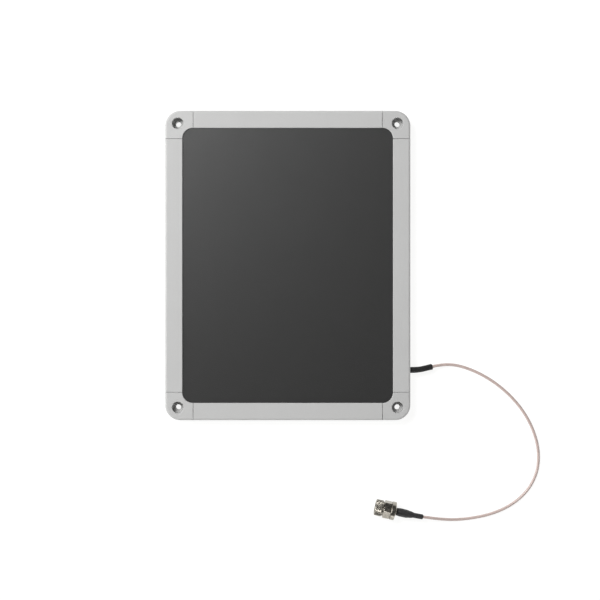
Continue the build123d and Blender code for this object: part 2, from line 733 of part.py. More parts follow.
turned(
    "insulator",
    [
        (INSULATOR[0], CONTACT_RADIUS + FIT_GAP),
        (INSULATOR[0], CONTACT_SLEEVE_BORE - FIT_GAP),
        (INSULATOR[1], CONTACT_SLEEVE_BORE - FIT_GAP),
        (INSULATOR[1], CONTACT_RADIUS + FIT_GAP),
    ],
)
turned(
    "centre_contact",
    [
        (CONTACT_START, CONTACT_SOCKET_RADIUS),
        (CONTACT_START, CONTACT_RADIUS),
        (INSULATOR[1], CONTACT_RADIUS),
        (INSULATOR[1], 0),
        (CONTACT_START + CONTACT_SOCKET_DEPTH, 0),
        (CONTACT_START + CONTACT_SOCKET_DEPTH, CONTACT_SOCKET_RADIUS),
    ],
)
turned(
    "face_gasket",
    [
        (FLANGE[0] - GASKET_THICKNESS, CONTACT_SLEEVE_RADIUS + FIT_GAP),
        (FLANGE[0] - GASKET_THICKNESS, FLANGE_RADIUS),
        (FLANGE[0], FLANGE_RADIUS),
        (FLANGE[0], CONTACT_SLEEVE_RADIUS + FIT_GAP),
    ],
)

# The nut: gripping band in front, groove, hexagon, and a rim behind it that stops the wrench.
with BuildPart() as coupling_nut:
    with BuildSketch(AXIAL_PLANE):
        with BuildLine():
            Polyline(
                (0, 0),
                (0, BAND_RADIUS - NUT_CHAMFER),
                (NUT_CHAMFER, BAND_RADIUS),
                (BAND_LENGTH - NUT_CHAMFER, BAND_RADIUS),
                (BAND_LENGTH, BAND_RADIUS - NUT_CHAMFER),
                (BAND_LENGTH, GROOVE_RADIUS),
                (RIM_START, GROOVE_RADIUS),
                (RIM_START, RIM_RADIUS - NUT_CHAMFER),
                (RIM_START + NUT_CHAMFER, RIM_RADIUS),
                (NUT_LENGTH - NUT_CHAMFER, RIM_RADIUS),
                (NUT_LENGTH, RIM_RADIUS - NUT_CHAMFER),
                (NUT_LENGTH, 0),
                close=True,
            )
        make_face()
    revolve(axis=CONNECTOR_AXIS)
    with BuildSketch(Plane(origin=on_axis(HEX_START), x_dir=AXIS_SIDE, z_dir=AXIS_DIRECTION)):
        RegularPolygon(HEX_ACROSS_FLATS / 2, 6, major_radius=False, rotation=HEX_TURN)
    extrude(amount=RIM_START - HEX_START)
    with BuildSketch(AXIAL_PLANE):
        with BuildLine():
            Polyline(
                (0, 0),
                (0, NUT_BORE_RADIUS),
                (RING_GROOVE[0], NUT_BORE_RADIUS),
                (RING_GROOVE[0], RING_GROOVE_RADIUS),
                (RING_GROOVE[1], RING_GROOVE_RADIUS),
                (RING_GROOVE[1], BARREL_RADIUS + FIT_GAP),
                (NUT_LENGTH, BARREL_RADIUS + FIT_GAP),
                (NUT_LENGTH, 0),
                close=True,
            )
        make_face()
    revolve(axis=CONNECTOR_AXIS, mode=Mode.SUBTRACT)
place(coupling_nut.part, "coupling_nut")

# ---- what the routes come to ----
for route_name, route_path, route_radii, tube in (
    ("coax_cable", cable_path, CABLE_RADII, coax_cable.part),
    ("coax_lead_inner", lead_path, LEAD_RADII, coax_lead_inner.part),
):
    section_volume = math.pi * CABLE_RADIUS**2 * route_path.length
    print(route_name, "radii", [round(radius) for radius in route_radii])
    print(route_name, "length", round(route_path.length, 1), "volume", round(tube.volume, 1),
          "section times length", round(section_volume, 1))
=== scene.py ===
"""A slim flat-panel antenna on a white table, with its coaxial lead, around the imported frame."""

import json
import math
from bisect import bisect_right

import bpy
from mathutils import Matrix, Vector


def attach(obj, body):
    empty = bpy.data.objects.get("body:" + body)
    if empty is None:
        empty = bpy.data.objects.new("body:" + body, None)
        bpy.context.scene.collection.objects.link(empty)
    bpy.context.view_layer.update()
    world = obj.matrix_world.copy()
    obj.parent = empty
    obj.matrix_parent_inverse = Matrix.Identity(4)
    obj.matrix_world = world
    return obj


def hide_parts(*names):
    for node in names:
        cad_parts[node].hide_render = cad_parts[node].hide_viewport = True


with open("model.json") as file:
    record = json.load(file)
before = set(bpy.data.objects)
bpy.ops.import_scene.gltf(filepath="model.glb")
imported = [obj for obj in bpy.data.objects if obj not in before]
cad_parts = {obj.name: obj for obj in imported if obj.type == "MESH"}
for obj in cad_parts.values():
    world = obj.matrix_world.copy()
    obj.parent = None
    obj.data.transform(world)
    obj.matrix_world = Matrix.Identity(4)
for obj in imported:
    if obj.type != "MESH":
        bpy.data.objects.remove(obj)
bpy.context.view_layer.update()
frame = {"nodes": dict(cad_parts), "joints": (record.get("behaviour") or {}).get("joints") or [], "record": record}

MM = 0.001
UP = Vector((0, 0, 1))

# ---- the connector's axis: it starts at the front face of the nut and runs back to the cable ----
JOINT = frame["joints"][0]
NUT_FRONT = Vector(JOINT["pos_m"])
AXIS = Vector(JOINT["axis"]).normalized()
SIDE = UP.cross(AXIS).normalized()


def on_axis(distance):
    """The point of the connector's axis this many millimetres behind the front face of its nut."""
    return NUT_FRONT + AXIS * (distance * MM)


# ---- the cable's route, in millimetres, as the design has it ----
EXIT = (103, -88.0, 7.3)
TABLE_Z = 1.3
ROUTE_MM = [
    EXIT,
    (109.5, -88.0, 7.3),
    (117.4, -86.3, 6.5),
    (127.4, -84.0, 4.2),
    (138.4, -83.4, 2.0),
    (149.9, -85.9, TABLE_Z),
    (163.4, -91.6, TABLE_Z),
    (176.4, -99.6, TABLE_Z),
    (188.9, -110.3, TABLE_Z),
    (199.9, -123.6, TABLE_Z),
    (208.2, -139.3, TABLE_Z),
    (212.7, -156.8, TABLE_Z),
    (211.6, -174.3, TABLE_Z),
    (203.6, -190.3, TABLE_Z),
    (189.9, -202.4, TABLE_Z),
    (173.4, -210.0, TABLE_Z),
    (156.4, -213.7, TABLE_Z),
    (141.4, -215.1, TABLE_Z),
    (129.9, -214.2, 4.2),
    (118.9, -212.6, 7.1),
]
CABLE_BEND_AT = 36.5
CABLE_END = 27.5
CABLE_DIAMETER = 0.0025
ROUTE = [Vector(point) * MM for point in ROUTE_MM] + [on_axis(CABLE_BEND_AT), on_axis(CABLE_END)]

# ---- camera: straight above, where the whole lead is in view ----
CAMERA_AT = Vector((0.0103, -0.029, 1.4))
CAMERA_LENS = 99.1
CAMERA_REACH = 20
camera_data = bpy.data.cameras.new("camera")
camera_data.lens = CAMERA_LENS
camera_data.clip_end = CAMERA_REACH
camera = bpy.data.objects.new("camera", camera_data)
camera.location = CAMERA_AT
bpy.context.scene.collection.objects.link(camera)
bpy.context.scene.camera = camera


# ---- materials: colours are linear, scales are per metre, reliefs are in metres ----
NOISE_LOW = 0.3
NOISE_HIGH = 0.7
PATCH_SHARE = 0.35
MIX_SHARE, MIX_FIRST, MIX_SECOND = 0, 6, 7
MIX_RESULT = 2


def shade(color, factor):
    """The colour, this many times as bright."""
    return tuple(min(level * factor, 1) for level in color)


class Shader:
    """A material with one Principled shader, and short ways to add nodes to it."""

    def __init__(self, name, color, roughness, **sockets):
        self.material = bpy.data.materials.new(name)
        self.material.use_nodes = True
        self.tree = self.material.node_tree
        self.bsdf = self.tree.nodes["Principled BSDF"]
        self.bsdf.inputs["Base Color"].default_value = (*color, 1)
        self.bsdf.inputs["Roughness"].default_value = roughness
        for socket, value in sockets.items():
            self.bsdf.inputs[socket.replace("_", " ")].default_value = value
        self.normal = None

    def node(self, kind, inputs=(), **settings):
        """A new node, with its settings and the values or links of its inputs."""
        made = self.tree.nodes.new(kind)
        for key, value in settings.items():
            setattr(made, key, value)
        for key, value in dict(inputs).items():
            if isinstance(value, bpy.types.NodeSocket):
                self.tree.links.new(value, made.inputs[key])
            else:
                made.inputs[key].default_value = value
        return made

    def place(self, scale=(1, 1, 1), source="Object"):
        """Coordinates in metres, stretched by scale."""
        where = self.node("ShaderNodeTexCoord").outputs[source]
        return self.node("ShaderNodeMapping", {"Vector": where, "Scale": scale}).outputs["Vector"]

    def noise(self, where, scale, detail=3.0, roughness=0.5):
        """Soft noise from 0 to 1, mostly between NOISE_LOW and NOISE_HIGH."""
        inputs = {"Vector": where, "Scale": scale, "Detail": detail, "Roughness": roughness}
        return self.node("ShaderNodeTexNoise", inputs).outputs["Fac"]

    def cells(self, where, scale, feature, **inputs):
        """Distance to the nearest cell's point or edge, as feature says."""
        inputs = {"Vector": where, "Scale": scale, **inputs}
        return self.node("ShaderNodeTexVoronoi", inputs, feature=feature).outputs["Distance"]

    def calculate(self, operation, *levels):
        """One operation on one or two levels."""
        return self.node("ShaderNodeMath", dict(enumerate(levels)), operation=operation).outputs["Value"]

    def patches_and_grain(self, patches, grain):
        """Two noises in one: PATCH_SHARE of the coarse one and the rest of the fine one."""
        coarse = self.calculate("MULTIPLY", patches, PATCH_SHARE)
        fine = self.calculate("MULTIPLY", grain, 1 - PATCH_SHARE)
        return self.calculate("ADD", coarse, fine)

    def between(self, level, low, high, start=NOISE_LOW, end=NOISE_HIGH):
        """The level, mapped from start..end to low..high."""
        inputs = {"Value": level, "From Min": start, "From Max": end, "To Min": low, "To Max": high}
        return self.node("ShaderNodeMapRange", inputs).outputs["Result"]

    def ramp(self, level, stops):
        """Colours at places from 0 to 1."""
        made = self.node("ShaderNodeValToRGB", {"Fac": level})
        elements = made.color_ramp.elements
        while len(elements) < len(stops):
            elements.new(0.5)
        for element, (position, color) in zip(elements, stops):
            element.position = position
            element.color = (*color, 1)
        return made.outputs["Color"]

    def mix(self, share, first, second):
        """first where share is 0, second where it is 1. Each is a plain colour or a node's output."""
        inputs = {MIX_SHARE: share}
        for key, color in ((MIX_FIRST, first), (MIX_SECOND, second)):
            inputs[key] = color if isinstance(color, bpy.types.NodeSocket) else (*color, 1)
        return self.node("ShaderNodeMix", inputs, data_type="RGBA").outputs[MIX_RESULT]

    def color(self, socket):
        """Gives the surface its colour."""
        self.tree.links.new(socket, self.bsdf.inputs["Base Color"])

    def mottle(self, level, color, spread):
        """Gives the surface a colour, darker by spread at low levels and lighter by spread at high ones."""
        stops = [(NOISE_LOW, shade(color, 1 - spread)), (NOISE_HIGH, shade(color, 1 + spread))]
        self.color(self.ramp(level, stops))

    def roughness(self, socket):
        """Gives the surface its roughness."""
        self.tree.links.new(socket, self.bsdf.inputs["Roughness"])

    def bump(self, height, distance, strength):
        """Relief of this height in metres, on top of any before it."""
        inputs = {"Height": height, "Distance": distance, "Strength": strength}
        if self.normal is not None:
            inputs["Normal"] = self.normal
        self.normal = self.node("ShaderNodeBump", inputs).outputs["Normal"]
        self.tree.links.new(self.normal, self.bsdf.inputs["Normal"])


FRAME_GREY = (0.536, 0.536, 0.531)
# Noise this fine along X, Y and Z: coarse along the lines and fine across them.
DRAW_LINES = {"x": (30, 1400, 1400), "y": (1400, 30, 1400)}
BRUSHED_LINES = (6, 900, 900)


def frame_plastic(name, drawn_along=None):
    """Light grey plastic with a fine spark-eroded grain, and faint draw lines along an extruded rail."""
    shader = Shader(name, FRAME_GREY, roughness=0.5, Specular_IOR_Level=0.45)
    where = shader.place()
    patches = shader.noise(where, scale=35, detail=4)
    grain = shader.noise(where, scale=2600, detail=2)
    shader.mottle(shader.patches_and_grain(patches, grain), FRAME_GREY, spread=0.04)
    wear = shader.noise(where, scale=90, detail=6, roughness=0.65)
    shader.roughness(shader.between(wear, 0.44, 0.6))
    shader.bump(grain, distance=0.00008, strength=0.9)
    if drawn_along:
        lines = shader.noise(shader.place(scale=DRAW_LINES[drawn_along]), scale=1, detail=2)
        shader.bump(lines, distance=0.00003, strength=0.5)
    return shader.material


CHARCOAL = (0.0155, 0.0155, 0.0153)


def panel_sheet():
    """Charcoal sheet with a fine pebbled grain and a soft satin sheen."""
    shader = Shader("panel_sheet", CHARCOAL, roughness=0.37, Specular_IOR_Level=0.87)
    where = shader.place()
    patches = shader.noise(where, scale=28, detail=5, roughness=0.6)
    grain = shader.noise(where, scale=1500, detail=3, roughness=0.6)
    shader.mottle(shader.patches_and_grain(patches, grain), CHARCOAL, spread=0.14)
    shader.roughness(shader.between(grain, 0.32, 0.42))
    pebbles = shader.cells(where, scale=1300, feature="SMOOTH_F1", Smoothness=0.6)
    shader.bump(pebbles, distance=0.00012, strength=0.55)
    shader.bump(grain, distance=0.00005, strength=0.5)
    return shader.material


def brushed(name, color, roughness):
    """Metal with fine brushed lines, and patches where it has dulled."""
    shader = Shader(name, color, roughness, Metallic=1.0)
    lines = shader.noise(shader.place(scale=BRUSHED_LINES), scale=1, detail=4, roughness=0.7)
    dull = shader.noise(shader.place(), scale=22, detail=6, roughness=0.6)
    dulled = shader.between(dull, 0, 0.6, start=0.45, end=0.75)
    shader.color(shader.mix(dulled, shade(color, 1.03), shade(color, 0.86)))
    shader.roughness(shader.between(lines, roughness * 0.8, roughness * 1.35))
    shader.bump(lines, distance=0.00003, strength=0.5)
    return shader.material


def plated(name, color, roughness, painted_shade_reach=None):
    """Plated metal with tiny pits, tarnished in patches, and given painted shade in hollows up to this many metres
    wide.
    """
    shader = Shader(name, color, roughness, Metallic=1.0)
    where = shader.place()
    tarnish = shader.noise(where, scale=260, detail=6, roughness=0.65)
    tone = shader.ramp(tarnish, [(0.35, shade(color, 0.8)), (0.55, color), (0.75, shade(color, 1.12))])
    if painted_shade_reach:
        # Painted shade: ambient occlusion darkens the colour to a fifth of it in narrow hollows such as the
        # knurl's grooves.
        open_sky = shader.node("ShaderNodeAmbientOcclusion", {"Distance": painted_shade_reach}, samples=8).outputs["AO"]
        unshaded = shader.between(open_sky, 0, 1, start=0.45, end=0.95)
        tone = shader.mix(unshaded, shade(color, 0.2), tone)
    shader.color(tone)
    shader.roughness(shader.between(tarnish, roughness * 0.75, roughness * 1.5, start=0.35))
    shader.bump(shader.noise(where, scale=1800, detail=3), distance=0.00002, strength=0.5)
    return shader.material


def moulded(name, color, roughness, grain=2200, depth=0.00003, spread=0.06):
    """Plain moulded plastic, rubber or foam with a grain this fine and this deep."""
    shader = Shader(name, color, roughness)
    where = shader.place()
    shader.mottle(shader.noise(where, scale=120, detail=4), color, spread)
    wear = shader.noise(where, scale=300, detail=4)
    shader.roughness(shader.between(wear, roughness * 0.85, roughness * 1.15))
    shader.bump(shader.noise(where, scale=grain, detail=3), depth, strength=0.6)
    return shader.material


SOLDER_MASK = (0.02, 0.13, 0.05)
MASK_OVER_COPPER = (0.06, 0.24, 0.08)


def board_laminate():
    """Green solder mask, raised and lighter over the copper tracks."""
    shader = Shader("board_laminate", SOLDER_MASK, roughness=0.35, Coat_Weight=0.3)
    where = shader.place()
    tracks = shader.cells(shader.place(scale=(140, 140, 0)), scale=1, feature="DISTANCE_TO_EDGE")
    copper = shader.between(tracks, 1, 0, start=0.05, end=0.09)
    shader.color(shader.mix(copper, SOLDER_MASK, MASK_OVER_COPPER))
    shader.roughness(shader.between(shader.noise(where, scale=500), 0.28, 0.42))
    shader.bump(copper, distance=0.00003, strength=0.8)
    return shader.material


JACKET_TAN = (0.61, 0.485, 0.45)
# The braid has this many strands each way round, which wind by this many radians in a metre.
BRAID_STRANDS = 8
BRAID_LAY = 5200.0


def cable_jacket():
    """Thin tan jacket with the braid showing faintly through it. Its UVs are metres along and round."""
    shader = Shader("cable_jacket", JACKET_TAN, roughness=0.32, Coat_Weight=0.35, Coat_Roughness=0.15)
    where = shader.place(source="UV")
    along, round_it = shader.node("ShaderNodeSeparateXYZ", {"Vector": where}).outputs[:2]
    lay = shader.calculate("MULTIPLY", along, BRAID_LAY)
    strands = []
    for hand in (1, -1):
        turn = shader.calculate("MULTIPLY", round_it, hand * 2 * BRAID_STRANDS / CABLE_DIAMETER)
        strands.append(shader.calculate("SINE", shader.calculate("ADD", lay, turn)))
    braid = shader.between(shader.calculate("MAXIMUM", *strands), 0, 1, start=-0.2, end=1)
    shader.color(shader.mix(braid, shade(JACKET_TAN, 0.84), shade(JACKET_TAN, 1.08)))
    marks = shader.noise(shader.place(), scale=260, detail=5)
    shader.roughness(shader.between(marks, 0.24, 0.44))
    shader.bump(braid, distance=0.00003, strength=0.5)
    return shader.material


def heat_shrink(name, black):
    """Black shrunk tube: satin, with a fine grain and lighter scuffs."""
    shader = Shader(name, black, roughness=0.45, Specular_IOR_Level=0.35)
    where = shader.place()
    scuffs = shader.noise(where, scale=420, detail=6, roughness=0.7)
    shader.color(shader.ramp(scuffs, [(0.35, shade(black, 0.8)), (0.6, black), (0.8, shade(black, 1.7))]))
    shader.roughness(shader.between(scuffs, 0.36, 0.58, end=0.75))
    shader.bump(shader.noise(where, scale=1400, detail=3), distance=0.00004, strength=0.6)
    return shader.material


# ---- the finish of each material slot, and of the nodes that differ from their slot ----
NICKEL = (0.42, 0.395, 0.345)
# How far the painted shade in the nut's knurl and grooves reaches, in metres.
NUT_PAINTED_SHADE_REACH = 0.0006
FINISHES = {
    "frame_plastic": frame_plastic("frame_plastic_moulded"),
    "panel_sheet": panel_sheet(),
    "seal_foam": moulded("seal_foam", (0.018, 0.018, 0.018), roughness=0.9, grain=900, depth=0.0001),
    "cover_sheet": brushed("cover_sheet", (0.62, 0.63, 0.64), roughness=0.34),
    "screw_steel": plated("screw_steel", (0.62, 0.62, 0.63), roughness=0.3),
    "radiator_sheet": brushed("radiator_sheet", (0.76, 0.76, 0.77), roughness=0.26),
    "post_metal": plated("post_metal", (0.72, 0.52, 0.22), roughness=0.25),
    "post_plastic": moulded("post_plastic", (0.72, 0.70, 0.64), roughness=0.5, spread=0.03),
    "board_laminate": board_laminate(),
    "pin_brass": plated("pin_brass", (0.76, 0.58, 0.28), roughness=0.22),
    "cable_jacket": cable_jacket(),
    "clamp_plastic": moulded("clamp_plastic", (0.03, 0.03, 0.03), roughness=0.55, spread=0.1),
    "sleeve_black": heat_shrink("sleeve_black", (0.015, 0.015, 0.0155)),
    "nickel": plated("nickel", NICKEL, roughness=0.23, painted_shade_reach=NUT_PAINTED_SHADE_REACH),
    "ferrule_nickel": plated("ferrule_nickel", NICKEL, roughness=0.3),
    "ring_spring": plated("ring_spring", (0.4, 0.4, 0.41), roughness=0.35),
    "insulator_white": moulded("insulator_white", (0.82, 0.82, 0.8), roughness=0.42, spread=0.02),
    "contact_gold": plated("contact_gold", (0.83, 0.6, 0.24), roughness=0.18),
    "gasket_rubber": moulded("gasket_rubber", (0.4, 0.07, 0.045), roughness=0.6),
}
NODE_FINISHES = {
    "connector_boot": heat_shrink("boot_black", (0.036, 0.036, 0.037)),
    "rail_top": frame_plastic("frame_plastic_along_x", "x"),
    "rail_left": frame_plastic("frame_plastic_along_y", "y"),
}
NODE_FINISHES["rail_bottom"] = NODE_FINISHES["rail_top"]
NODE_FINISHES["rail_right"] = NODE_FINISHES["rail_left"]

SLOT_OF = {part["node"]: part["material_slot"] for part in frame["record"]["subparts"]}


def finish_of(node):
    """The material that a node shows."""
    return NODE_FINISHES.get(node) or FINISHES[SLOT_OF[node]]


for node_name, node_object in frame["nodes"].items():
    node_object.data.materials.clear()
    node_object.data.materials.append(finish_of(node_name))


# ---- mesh building ----
def body_of(node):
    """The name of the body that a node belongs to."""
    bodies = frame["record"]["behaviour"]["bodies"]
    return next(body for body, nodes in bodies.items() if node in nodes)


def add_piece(name, node, rows, crease, closed=True, uvs=None):
    """A piece that stands for a node, from rows of points, each row a ring.

    closed joins the last row to the first, and otherwise both ends are capped. Faces that meet at more than
    crease degrees have a sharp edge between them. uvs gives the UV of a corner of a face, from the corner's
    row, its place in the row and the face.
    """
    count = len(rows[0])
    faces = []
    for step in range(len(rows) if closed else len(rows) - 1):
        here = step * count
        after = (step + 1) % len(rows) * count
        for turn in range(count):
            beside = (turn + 1) % count
            faces.append((here + turn, here + beside, after + beside, after + turn))
    if not closed:
        faces.append(tuple(reversed(range(count))))
        faces.append(tuple(range((len(rows) - 1) * count, len(rows) * count)))
    mesh = bpy.data.meshes.new(name)
    mesh.from_pydata([point for row in rows for point in row], [], faces)
    if uvs:
        layer = mesh.uv_layers.new(name="UVMap")
        for polygon in mesh.polygons:
            for corner, vertex in zip(polygon.loop_indices, polygon.vertices):
                layer.data[corner].uv = uvs(vertex // count, vertex % count, polygon)
    mesh.validate()
    mesh.polygons.foreach_set("use_smooth", [True] * len(mesh.polygons))
    mesh.set_sharp_from_angle(angle=math.radians(crease))
    piece = bpy.data.objects.new(name, mesh)
    bpy.context.scene.collection.objects.link(piece)
    piece.data.materials.append(finish_of(node))
    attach(piece, body_of(node))
    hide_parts(node)
    return piece


def ring(centre, across, up, radii):
    """A ring of points about a centre, with one radius for each step of the turn."""
    turns = [math.tau * step / len(radii) for step in range(len(radii))]
    return [
        centre + across * (math.cos(turn) * radius) + up * (math.sin(turn) * radius)
        for turn, radius in zip(turns, radii)
    ]


def smooth_step(value, start, end):
    """0 up to start, 1 from end on, and an even S between them."""
    share = min(max((value - start) / (end - start), 0), 1)
    return share * share * (3 - 2 * share)


# ---- lines ----
POINTS_PER_SPAN = 24


def route_line():
    """The points of the smooth line of the cable, read from its NURBS spline."""
    curve = bpy.data.curves.new("cable_route", "CURVE")
    curve.dimensions = "3D"
    spline = curve.splines.new("NURBS")
    spline.points.add(len(ROUTE) - 1)
    for spot, point in zip(spline.points, ROUTE):
        spot.co = (*point, 1)
    spline.order_u = 3
    spline.use_endpoint_u = True
    spline.resolution_u = POINTS_PER_SPAN
    holder = bpy.data.objects.new("cable_route", curve)
    mesh = bpy.data.meshes.new_from_object(holder)
    line = [vertex.co.copy() for vertex in mesh.vertices]
    bpy.data.objects.remove(holder)
    bpy.data.curves.remove(curve)
    bpy.data.meshes.remove(mesh)
    return line


def lengths_along(line):
    """How far along a line each of its points is."""
    lengths = [0.0]
    for before, after in zip(line, line[1:]):
        lengths.append(lengths[-1] + (after - before).length)
    return lengths


def frames_along(line):
    """For each point of a line, two directions square to it, which don't twist."""
    frames = []
    side = None
    for index in range(len(line)):
        ahead = line[min(index + 1, len(line) - 1)] - line[max(index - 1, 0)]
        ahead.normalize()
        side = UP.cross(ahead) if side is None else side - ahead * side.dot(ahead)
        side.normalize()
        frames.append((side, ahead.cross(side)))
    return frames


def stretch_of(line, length, step):
    """Points about a step apart, along this length of a line from its start."""
    lengths = lengths_along(line)
    count = round(length / step)
    points = []
    for number in range(count + 1):
        wanted = length * number / count
        index = bisect_right(lengths, wanted, hi=len(lengths) - 1) - 1
        share = (wanted - lengths[index]) / (lengths[index + 1] - lengths[index])
        points.append(line[index].lerp(line[index + 1], min(share, 1)))
    return points


# ---- the cable ----
CABLE_LINE = route_line()
CABLE_SEGMENTS = 32
CABLE_STEP = 0.8
CABLE_CREASE = 60


def cable_piece():
    """The jacket along the whole line, and the points that it follows."""
    line = stretch_of(CABLE_LINE, lengths_along(CABLE_LINE)[-1], CABLE_STEP * MM)
    along = lengths_along(line)
    radius = CABLE_DIAMETER / 2
    rows = [ring(point, *sides, [radius] * CABLE_SEGMENTS) for point, sides in zip(line, frames_along(line))]

    def uvs(row, turn, polygon):
        """Metres along and round. The last faces of a row end a whole turn round, not back at 0."""
        if turn == 0 and any(vertex % CABLE_SEGMENTS == CABLE_SEGMENTS - 1 for vertex in polygon.vertices):
            turn = CABLE_SEGMENTS
        return (along[row], turn / CABLE_SEGMENTS * math.tau * radius)

    piece = add_piece("coax_cable_jacket", "coax_cable", rows, CABLE_CREASE, closed=False, uvs=uvs)
    return piece, line


cable, cable_path = cable_piece()

# ---- shrunk tubes on the cable, in millimetres along each tube ----
SHRINK_SEGMENTS = 48
SHRINK_STEP = 0.4
SHRINK_CREASE = 50
JACKET_BORE = 1.29


def profile(stops):
    """The radius at a distance along a tube, smooth from each (distance, radius) stop to the next."""

    def radius(distance):
        for (start, before), (end, after) in zip(stops, stops[1:]):
            if distance <= end:
                return before + (after - before) * smooth_step(distance, start, end)
        return stops[-1][1]

    return radius


def shrink_tube(name, node, line, length, outer, bore, wrinkles):
    """A shrunk tube along the start of a line, outer and bore being profiles.

    Each wrinkle is (height, ridges round the tube, turn in radians per millimetre, start in radians).
    """
    line = stretch_of(line, length * MM, SHRINK_STEP * MM)
    stations = list(zip(line, frames_along(line), [metres / MM for metres in lengths_along(line)]))
    turns = [math.tau * step / SHRINK_SEGMENTS for step in range(SHRINK_SEGMENTS)]
    rows = []
    for point, sides, distance in stations:
        radii = []
        for turn in turns:
            ripple = sum(
                height * math.sin(ridges * turn + twist * distance + start)
                for height, ridges, twist, start in wrinkles
            )
            radii.append((outer(distance) + ripple) * MM)
        rows.append(ring(point, *sides, radii))
    for point, sides, distance in reversed(stations):
        rows.append(ring(point, *sides, [bore(distance) * MM] * SHRINK_SEGMENTS))
    return add_piece(name, node, rows, SHRINK_CREASE)


SLEEVE_INSIDE = 5.0
SLEEVE_OUTSIDE = 19.2
SLEEVE_LENGTH = SLEEVE_INSIDE + SLEEVE_OUTSIDE
SLEEVE_RADIUS = 2.55
SLEEVE_WAIST = 2.45
SLEEVE_LIP = 2.57
SLEEVE_NOSE = 2.22


def exit_sleeve():
    """The sleeve at the wall: even in the wall, then drawn in a little, with a slight lip at its end."""
    outline = [
        (SLEEVE_INSIDE + 4, SLEEVE_RADIUS),
        (SLEEVE_INSIDE + 9, SLEEVE_WAIST),
        (SLEEVE_LENGTH - 2.2, SLEEVE_WAIST),
        (SLEEVE_LENGTH - 0.6, SLEEVE_LIP),
        (SLEEVE_LENGTH - 0.5, SLEEVE_LIP),
        (SLEEVE_LENGTH, SLEEVE_NOSE),
    ]
    wrinkles = [(0.03, 3, 0.35, 0.4), (0.02, 7, -0.5, 1.9), (0.012, 11, 0.9, 4.0)]
    inner_end = CABLE_LINE[0] - Vector((SLEEVE_INSIDE * MM, 0, 0))
    return shrink_tube(
        "exit_sleeve_shrunk",
        "exit_sleeve",
        [inner_end, *CABLE_LINE],
        SLEEVE_LENGTH,
        profile(outline),
        lambda _: JACKET_BORE,
        wrinkles,
    )


BOOT_START = 18.2
BOOT_LENGTH = 22.9
BOOT_RADIUS = 3.5
BOOT_TAIL_RADIUS = 2.2
NECK_BORE = 2.73
NECK_BORE_LENGTH = 3.8
FERRULE_BORE = 2.33
FERRULE_BORE_END = 12.4


def connector_boot():
    """The shrunk boot: over the connector's neck, over the ferrule, then down to the cable."""
    outline = [
        (0, 2.95),
        (0.5, 3.2),
        (NECK_BORE_LENGTH, BOOT_RADIUS),
        (8.6, 3.42),
        (12.0, 2.92),
        (15.4, BOOT_TAIL_RADIUS),
        (BOOT_LENGTH - 0.6, 2.17),
        (BOOT_LENGTH, 1.95),
    ]
    hollow = [
        (NECK_BORE_LENGTH, NECK_BORE),
        (NECK_BORE_LENGTH + 0.1, FERRULE_BORE),
        (FERRULE_BORE_END, FERRULE_BORE),
        (FERRULE_BORE_END + 0.3, JACKET_BORE),
    ]
    wrinkles = [(0.035, 2, 0.2, 0.9), (0.025, 5, -0.4, 2.2), (0.014, 9, 0.7, 0.3)]
    return shrink_tube(
        "connector_boot_shrunk",
        "connector_boot",
        [on_axis(BOOT_START), *reversed(CABLE_LINE)],
        BOOT_LENGTH,
        profile(outline),
        profile(hollow),
        wrinkles,
    )


sleeve = exit_sleeve()
boot = connector_boot()


# ---- the connector's turned pieces, in millimetres behind the front face of the nut ----
def turned(name, node, section, segments, crease, start=0.0):
    """A piece about the connector's axis.

    section goes all the way round its half section in (distance, radius) points, where a radius is a number
    or a function of the angle from start.
    """
    across = SIDE * math.cos(start) + UP * math.sin(start)
    up = UP * math.cos(start) - SIDE * math.sin(start)
    turns = [math.tau * step / segments for step in range(segments)]
    rows = []
    for distance, radius in section:
        radii = [(radius(turn) if callable(radius) else radius) * MM for turn in turns]
        rows.append(ring(on_axis(distance), across, up, radii))
    return add_piece(name, node, rows, crease)


def steps(start, end, size):
    """Even steps of about this size from start to end."""
    count = round((end - start) / size)
    return [start + (end - start) * number / count for number in range(count + 1)]


NUT_SEGMENTS = 288
NUT_CREASE = 28
NUT_LENGTH = 17.3
BAND_END = 6.4
BAND_RADIUS = 6.9
BAND_CHAMFER = 0.55
KNURL_EDGE = 0.05
KNURL_TEETH = 36
KNURL_DEPTH = 0.34
KNURL_SHARPNESS = 2.2
KNURL_PITCH = math.tau * BAND_RADIUS / KNURL_TEETH
# The band's rows of points are as far apart as the points in a row, so that both sets of grooves fit them.
KNURL_STEP = math.tau * BAND_RADIUS / NUT_SEGMENTS
GROOVE_RADIUS = 5.9
HEX_START = 7.2
HEX_END = 13.6
HEX_TURN = math.radians(-21)
HEX_SIDE_ANGLE = math.tau / 6
ACROSS_FLATS = 13.4
# At each end the corners are turned off to this height over the flats, and to more further in.
HEX_CORNER_HEIGHT = 0.25
HEX_CORNER_SLOPE = 1.6
RIM_RADIUS = 7.8
RING_GROOVE = (12.0, 13.2)
RING_GROOVE_RADIUS = 5.5
REAR_BORE = 4.55
MOUTH_RADIUS = 5.5
THREAD_START = 0.3
THREAD_END = 9.4
THREAD_STEP = 0.1
THREADS_PER_INCH = 28
THREAD_PITCH = 25.4 / THREADS_PER_INCH
THREAD_CREST = 5.2
THREAD_DEPTH = 0.4
THREAD_FADE_IN = 0.9
THREAD_FADE_OUT = 1.0


def knurl(distance):
    """Two crossed sets of helical grooves, which leave pointed diamonds, on a band with chamfered ends."""
    chamfer = max(0.0, BAND_CHAMFER - min(distance, BAND_END - distance))

    def groove(phase):
        return max(0.0, 1 - KNURL_SHARPNESS * abs(phase % 1 - 0.5))

    def radius(turn):
        around = KNURL_TEETH * turn / math.tau
        climb = distance / KNURL_PITCH
        cut = KNURL_DEPTH * max(groove(around + climb), groove(around - climb))
        return BAND_RADIUS - max(cut, chamfer)

    return radius


